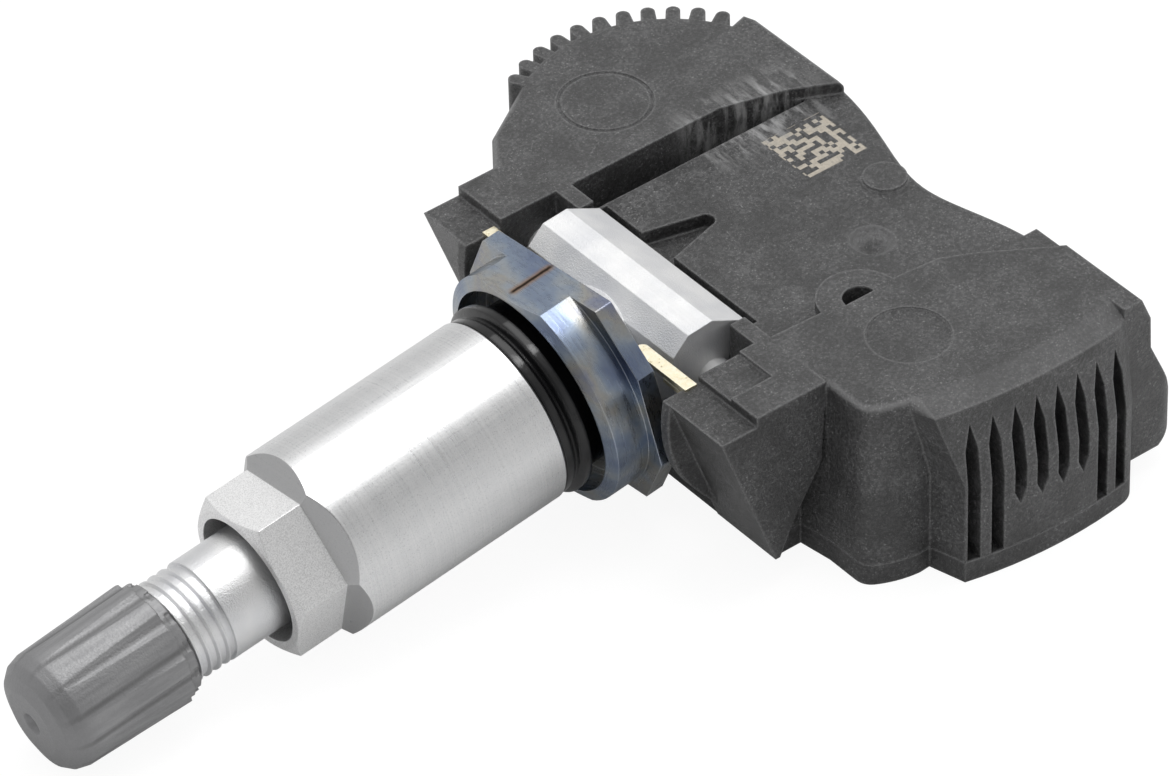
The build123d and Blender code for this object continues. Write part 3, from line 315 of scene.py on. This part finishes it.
def plated_steel():
    """Zinc-plated washer: straw and blue tints, with a burnt brown line on its top flat."""
    finish = Finish("washer_plate", (0.6, 0.62, 0.66), 0.3, 1.0)
    highlit_edge = finish.soften(0.1)
    cloud = finish.noise(finish.place((1.0, 0.6, 1.0)), 0.28, 3.0, 0.55)
    tint = finish.ramp(cloud, [
        (0.3, (0.16, 0.2, 0.3)),
        (0.44, (0.24, 0.29, 0.37)),
        (0.52, (0.33, 0.36, 0.39)),
        (0.6, (0.36, 0.35, 0.32)),
        (0.72, (0.22, 0.24, 0.33)),
    ])
    along, side, up = finish.stem_place()
    turn = finish.math("ARCTAN2", side, up)
    squares = finish.math("ADD", finish.math("POWER", side, 2.0), finish.math("POWER", up, 2.0))
    out = finish.math("SQRT", squares)
    rings = finish.vector(
        finish.math("MULTIPLY", along, 5.0),
        finish.math("MULTIPLY", turn, 3.0),
        finish.math("MULTIPLY", out, 5.0),
    )
    streaks = finish.noise(rings, 1.0, 3.0)
    speckle = finish.noise(finish.place(), 6.0, 3.0)
    finish.bump(streaks, 0.004)
    finish.bump(speckle, 0.006)
    tint = finish.mix(finish.spread(speckle, 0.35, 0.65, 0.0, 0.3), tint, (0.2, 0.22, 0.26))
    # Painted highlight: the edges are mixed towards pale blue-grey.
    tint = finish.mix(finish.math("MULTIPLY", highlit_edge, 0.35), tint, (0.75, 0.77, 0.8))
    wave = finish.math("MULTIPLY", finish.math("SUBTRACT", finish.noise(finish.place(), 1.6, 2.0), 0.5), 0.12)
    off = finish.math("ABSOLUTE", finish.math("ADD", finish.math("SUBTRACT", side, BURN_SIDE), wave))
    top = finish.spread(up, 7.6, 8.0)
    span = finish.math("MULTIPLY", finish.spread(along, 5.2, 5.7), finish.spread(along, 9.3, 8.9))
    inside = finish.math("MULTIPLY", top, span)
    halo = finish.math("MULTIPLY", finish.spread(off, 0.55, 0.1), inside)
    core = finish.math("MULTIPLY", finish.spread(off, 0.2, 0.06), inside)
    tint = finish.mix(finish.math("MULTIPLY", halo, 0.75), tint, (0.3, 0.16, 0.06))
    finish.color(finish.mix(core, tint, (0.02, 0.012, 0.008)))
    finish.rough(finish.spread(streaks, 0.3, 0.7, 0.22, 0.4))
    return finish.done()


def gold_plate():
    """Gold-coloured clip with worn specks."""
    finish = Finish("clip_gold", (0.85, 0.7, 0.4), 0.3, 1.0)
    highlit_edge = finish.soften(0.06)
    specks = finish.noise(finish.place(), 3.5, 4.0, 0.7)
    finish.bump(specks, 0.02)
    tone = finish.ramp(specks, [(0.3, (0.3, 0.24, 0.13)), (0.37, (0.9, 0.82, 0.58)), (0.7, (1.0, 0.95, 0.8))])
    # Painted highlight: the edges are mixed towards pale gold.
    finish.color(finish.mix(finish.math("MULTIPLY", highlit_edge, 0.5), tone, (1.0, 0.94, 0.74)))
    return finish.done()


def filled_plastic(name, dark, light, patch=False):
    """Glass-filled black plastic: fine grain, pale flecks, and painted highlights on the edges and tilted
    rims.
    """
    finish = Finish(name, dark, 0.5)
    finish.shader.inputs["Specular IOR Level"].default_value = 0.95
    highlit_edge = finish.soften(0.32)
    slope = finish.dot(finish.normal, (0.0, 0.0, 1.0))
    where = finish.place()
    grain = finish.noise(where, 3.6, 5.0, 0.75)
    flecks = finish.noise(where, 7.0, 2.0)
    cloud = finish.noise(where, 0.3, 4.0, 0.6)
    finish.bump(grain, 0.16)
    base = finish.mix(finish.spread(cloud, 0.35, 0.65), dark, light)
    base = finish.mix(finish.spread(grain, 0.47, 0.6, 0.0, 0.9), base, [3.4 * level for level in light])
    base = finish.mix(finish.spread(flecks, 0.62, 0.71, 0.0, 0.6), base, (0.36, 0.36, 0.36))
    base = finish.mix(finish.spread(cloud, 0.38, 0.58, 0.55, 0.0), base, (0.006, 0.006, 0.006))
    # Painted highlight: the edges are mixed towards grey.
    base = finish.mix(finish.math("MULTIPLY", highlit_edge, 0.6), base, (0.2, 0.2, 0.202))
    # Painted highlight: faces tilted between level and upright, as on rounded top rims, are mixed lighter.
    rim_painted_highlight = finish.math("MULTIPLY", finish.spread(slope, 0.25, 0.6), finish.spread(slope, 0.97, 0.8))
    base = finish.mix(finish.math("MULTIPLY", rim_painted_highlight, 0.5), base, (0.22, 0.22, 0.222))
    satin = finish.spread(grain, 0.3, 0.7, 0.3, 0.46)
    rough = finish.math("SUBTRACT", satin, finish.math("MULTIPLY", highlit_edge, 0.1))
    if patch:
        base = etched_square(finish, where, base)
        base, rough = sealing_smears(finish, where, base, rough)
    finish.color(base)
    finish.rough(rough)
    return finish.done()


def box_mask(finish, x, y, centre, half, soft=0.05):
    """One inside a rectangle in plan, nought outside it."""
    off_x = finish.math("ABSOLUTE", finish.math("SUBTRACT", x, centre[0]))
    off_y = finish.math("ABSOLUTE", finish.math("SUBTRACT", y, centre[1]))
    in_x = finish.spread(off_x, half[0] + soft, half[0] - soft)
    in_y = finish.spread(off_y, half[1] + soft, half[1] - soft)
    return finish.math("MULTIPLY", in_x, in_y)


def etched_square(finish, where, base):
    """Light square of made-up cells, etched where such parts carry a code."""
    split = finish.add("ShaderNodeSeparateXYZ", Vector=where)
    x, y, z = split.outputs
    cell = SQUARE_SIZE / SQUARE_CELLS
    column = finish.math("FLOOR", finish.math("DIVIDE", x, cell))
    row = finish.math("FLOOR", finish.math("DIVIDE", y, cell))
    place = finish.vector(column, row, 0.0)
    random = finish.add("ShaderNodeTexWhiteNoise", {"noise_dimensions": "2D"}, Vector=place)
    lit = finish.math("GREATER_THAN", random.outputs["Value"], 0.5)
    inside = box_mask(finish, x, y, SQUARE_CENTRE, (SQUARE_SIZE / 2, SQUARE_SIZE / 2))
    top = finish.math("GREATER_THAN", z, SQUARE_LOWEST)
    fade = finish.spread(finish.noise(where, 5.0, 2.0), 0.2, 0.6, 0.65, 1.0)
    mask = finish.math("MULTIPLY", finish.math("MULTIPLY", inside, lit), finish.math("MULTIPLY", top, fade))
    return finish.mix(mask, base, (0.5, 0.45, 0.37))


def sealing_smears(finish, where, base, rough):
    """Dried streaks across the groove beside the battery lobe."""
    split = finish.add("ShaderNodeSeparateXYZ", Vector=where)
    x, y, z = split.outputs
    mask = box_mask(finish, x, y, SMEAR_CENTRE, SMEAR_HALF, 1.6)
    streak = finish.noise(finish.place((1.6, 0.35, 0.35)), 1.0, 5.0, 0.65)
    streak = finish.spread(streak, 0.45, 0.66)
    top = finish.math("GREATER_THAN", z, SMEAR_LOWEST)
    mask = finish.math("MULTIPLY", finish.math("MULTIPLY", mask, streak), top)
    return finish.mix(mask, base, (0.33, 0.33, 0.33)), finish.spread(mask, 0.0, 1.0, rough, 0.3)


def plain_metal(name, color, roughness):
    """Small metal piece with a faint grain."""
    finish = Finish(name, color, roughness, 1.0)
    highlit_edge = finish.soften(0.05)
    grain = finish.noise(finish.place(), 4.0, 3.0)
    finish.bump(grain, 0.005)
    edge_highlight_color = [min(1.0, c * 1.25) for c in color]
    tone = finish.mix(finish.spread(grain, 0.3, 0.7), [c * 0.88 for c in color], color)
    # Painted highlight: the edges are mixed towards a lighter copy of the colour.
    finish.color(finish.mix(finish.math("MULTIPLY", highlit_edge, 0.5), tone, edge_highlight_color))
    finish.rough(finish.spread(grain, 0.3, 0.7, roughness * 0.8, roughness * 1.25))
    return finish.done()


def plain_solid(name, color, roughness):
    """Small moulded, fired or coated piece with a faint grain."""
    finish = Finish(name, color, roughness)
    grain = finish.noise(finish.place(), 5.0, 3.0)
    finish.bump(grain, 0.008)
    finish.color(finish.mix(grain, [c * 0.8 for c in color], color))
    finish.rough(finish.spread(grain, 0.3, 0.7, roughness * 0.85, roughness * 1.15))
    return finish.done()


# Marks on the surfaces, in millimetres of the part's frame
BURN_SIDE = 1.26
HEX_START = 30.55
HEX_FACE = 34.57
FLUTES = 12
SQUARE_CENTRE = (19.2, 4.2)
SQUARE_SIZE = 5.3
SQUARE_CELLS = 14
SQUARE_LOWEST = 14.0
SMEAR_CENTRE = (17.5, 9.0)
SMEAR_HALF = (5.0, 2.6)
SMEAR_LOWEST = 10.5

stem_metal = blasted_aluminium()
nut_metal = turned_aluminium()
seal_black = matt_rubber()
brass = plain_metal("core_brass", (0.72, 0.55, 0.27), 0.3)
bright_steel = plain_metal("bright_steel", (0.66, 0.66, 0.67), 0.28)
copper = plain_metal("coil_copper", (0.75, 0.38, 0.2), 0.35)
chip_black = plain_solid("chip_black", (0.03, 0.03, 0.032), 0.5)
finishes = {
    "valve_stem": stem_metal,
    "collar_nut": nut_metal,
    "valve_cap": cap_metal(),
    "cap_seal": seal_black,
    "valve_core_body": brass,
    "valve_core_seal": seal_black,
    "valve_core_pin": brass,
    "valve_core_cup_seal": seal_black,
    "valve_core_guide": brass,
    "valve_core_spring": bright_steel,
    "grommet": glossy_rubber(),
    "support_washer": plated_steel(),
    "retaining_clips": gold_plate(),
    "housing": filled_plastic("housing_plastic", (0.01, 0.01, 0.0103), (0.028, 0.028, 0.0285), patch=True),
    "bottom_cover": filled_plastic("cover_plastic", (0.01, 0.01, 0.0103), (0.026, 0.026, 0.0265)),
    "circuit_board": plain_solid("board_green", (0.03, 0.16, 0.06), 0.35),
    "battery_cell": plain_metal("cell_nickel", (0.7, 0.69, 0.67), 0.25),
    "battery_tab_positive": bright_steel,
    "battery_tab_negative": bright_steel,
    "pressure_sensor": chip_black,
    "pressure_gasket": seal_black,
    "vent_membrane": plain_solid("membrane_white", (0.8, 0.8, 0.78), 0.6),
    "control_chip": chip_black,
    "crystal": bright_steel,
    "lf_coil_core": plain_solid("ferrite", (0.06, 0.06, 0.065), 0.45),
    "lf_coil_winding": copper,
    "chip_capacitors": plain_solid("ceramic_tan", (0.45, 0.33, 0.22), 0.4),
    "antenna_loop": copper,
}
for name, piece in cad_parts.items():
    if not piece.material_slots:
        piece.data.materials.append(finishes[name])
    for slot in piece.material_slots:
        slot.material = finishes[name]


def new_mesh(name, points, faces, material, smooth_angle):
    """Mesh object with its sharp edges kept."""
    mesh = bpy.data.meshes.new(name)
    mesh.from_pydata([tuple(p) for p in points], [], faces)
    mesh.polygons.foreach_set("use_smooth", [True] * len(mesh.polygons))
    mesh.set_sharp_from_angle(angle=math.radians(smooth_angle))
    mesh.materials.append(material)
    piece = bpy.data.objects.new(name, mesh)
    scene.collection.objects.link(piece)
    return piece


def stem_point(along, radius, angle):
    """Point at a distance along the stem, a radius and an angle round it, in metres."""
    outward = UP_DIR * math.cos(angle) + SIDE_DIR * math.sin(angle)
    return PIVOT + (STEM_DIR * along + outward * radius) * MM


def thread(name, start, end, root, crest, pitch, material):
    """Helical thread ridge that fades out at both ends into the plain cylinder under it."""
    per_turn = 60
    flat = 0.14
    fade = per_turn * 0.6
    shape = ((0.0, root), (0.5 * (0.5 - flat), crest), (0.5 * (0.5 + flat), crest), (0.5, root), (1.0, root))
    steps = int((end - start) / pitch * per_turn)
    points = []
    for step in range(steps + 1):
        share = min(1.0, step / fade, (steps - step) / fade)
        angle = 2 * math.pi * step / per_turn
        for offset, radius in shape[:-1]:
            height = root + (radius - root) * share
            points.append(stem_point(start + pitch * (step / per_turn + offset), height, angle))
    faces = []
    count = len(shape) - 1
    for step in range(steps):
        for index in range(count - 1):
            first = step * count + index
            faces.append((first, first + 1, first + 1 + count, first + count))
    piece = new_mesh(name, points, faces, material, 30.0)
    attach(piece, "stem")


thread("mouth_thread", 38.3, 49.8, 3.55, 3.87, 0.794, stem_metal)
thread("nut_thread", 17.2, 27.4, 4.22, 4.48, 0.75, stem_metal)


def area_light(name, place, target, size, power):
    data = bpy.data.lights.new(name, "AREA")
    data.shape = "RECTANGLE"
    data.size = size[0]
    data.size_y = size[1]
    data.energy = power
    lamp = bpy.data.objects.new(name, data)
    lamp.location = place
    lamp.rotation_euler = (Vector(target) - Vector(place)).to_track_quat("-Z", "Y").to_euler()
    scene.collection.objects.link(lamp)


area_light("softbox", (0.08, 0.095, 0.338), (0.0, 0.0, 0.01), (0.28, 0.24), 0.34)
area_light("overhead", (0.03, -0.03, 0.35), (0.0, 0.0, 0.01), (0.1, 0.1), 0.17)


def add_world():
    """Studio surround: bright above, grey at the sides, dark round the camera, white in the picture."""
    world = bpy.data.worlds.new("studio")
    world.use_nodes = True
    scene.world = world
    tree = world.node_tree
    background = tree.nodes["Background"]
    place = tree.nodes.new("ShaderNodeTexCoord")
    split = tree.nodes.new("ShaderNodeSeparateXYZ")
    ramp = tree.nodes.new("ShaderNodeValToRGB")
    path = tree.nodes.new("ShaderNodeLightPath")
    mix = tree.nodes.new("ShaderNodeMix")
    mix.data_type = "RGBA"
    mix.inputs[7].default_value = (1.0, 1.0, 1.0, 1.0)
    stops = ((0.0, 0.7), (0.5, 0.72), (0.75, 0.75), (0.93, 1.05))
    elements = ramp.color_ramp.elements
    while len(elements) < len(stops):
        elements.new(0.5)
    for element, (position, level) in zip(elements, stops):
        element.position = position
        element.color = (level, level, level, 1.0)
    nearness = tree.nodes.new("ShaderNodeVectorMath")
    nearness.operation = "DOT_PRODUCT"
    nearness.inputs[1].default_value = CAMERA_SIDE
    shade = tree.nodes.new("ShaderNodeMapRange")
    for name, number in (("From Min", 0.6), ("From Max", 0.93), ("To Min", 0.0), ("To Max", 0.8)):
        shade.inputs[name].default_value = number
    mirrored = tree.nodes.new("ShaderNodeMath")
    mirrored.operation = "MULTIPLY"
    left = tree.nodes.new("ShaderNodeMath")
    left.operation = "SUBTRACT"
    left.inputs[0].default_value = 1.0
    dimmed = tree.nodes.new("ShaderNodeVectorMath")
    dimmed.operation = "SCALE"
    tree.links.new(path.outputs["Is Glossy Ray"], mirrored.inputs[0])
    tree.links.new(shade.outputs[0], mirrored.inputs[1])
    tree.links.new(mirrored.outputs[0], left.inputs[1])
    tree.links.new(place.outputs["Generated"], nearness.inputs[0])
    tree.links.new(nearness.outputs["Value"], shade.inputs["Value"])
    tree.links.new(ramp.outputs["Color"], dimmed.inputs[0])
    tree.links.new(left.outputs[0], dimmed.inputs["Scale"])
    tree.links.new(place.outputs["Generated"], split.inputs[0])
    tree.links.new(split.outputs["Z"], ramp.inputs["Fac"])
    tree.links.new(path.outputs["Is Camera Ray"], mix.inputs[0])
    tree.links.new(dimmed.outputs[0], mix.inputs[6])
    tree.links.new(mix.outputs[2], background.inputs["Color"])


add_world()


def add_floor():
    """Pale floor that reads white to the camera and keeps the shadow."""
    size = 3.0
    points = [(-size, -size, 0), (size, -size, 0), (size, size, 0), (-size, size, 0)]
    material = bpy.data.materials.new("floor")
    material.use_nodes = True
    tree = material.node_tree
    shader = tree.nodes["Principled BSDF"]
    shader.inputs["Base Color"].default_value = (0.7, 0.7, 0.7, 1.0)
    shader.inputs["Roughness"].default_value = 0.9
    glow = tree.nodes.new("ShaderNodeEmission")
    glow.inputs["Strength"].default_value = 1.14
    blend = tree.nodes.new("ShaderNodeMixShader")
    path = tree.nodes.new("ShaderNodeLightPath")
    mirrored = tree.nodes.new("ShaderNodeMath")
    mirrored.operation = "MULTIPLY"
    mirrored.inputs[1].default_value = 0.06
    seen = tree.nodes.new("ShaderNodeMath")
    seen.operation = "MULTIPLY_ADD"
    seen.inputs[1].default_value = 0.8
    tree.links.new(path.outputs["Is Glossy Ray"], mirrored.inputs[0])
    tree.links.new(path.outputs["Is Camera Ray"], seen.inputs[0])
    tree.links.new(mirrored.outputs[0], seen.inputs[2])
    tree.links.new(seen.outputs[0], blend.inputs[0])
    tree.links.new(shader.outputs[0], blend.inputs[1])
    tree.links.new(glow.outputs[0], blend.inputs[2])
    tree.links.new(blend.outputs[0], tree.nodes["Material Output"].inputs["Surface"])
    mesh = bpy.data.meshes.new("floor")
    mesh.from_pydata(points, [], [(0, 1, 2, 3)])
    mesh.materials.append(material)
    floor = bpy.data.objects.new("floor", mesh)
    scene.collection.objects.link(floor)


add_floor()
scene.view_settings.view_transform = "Standard"
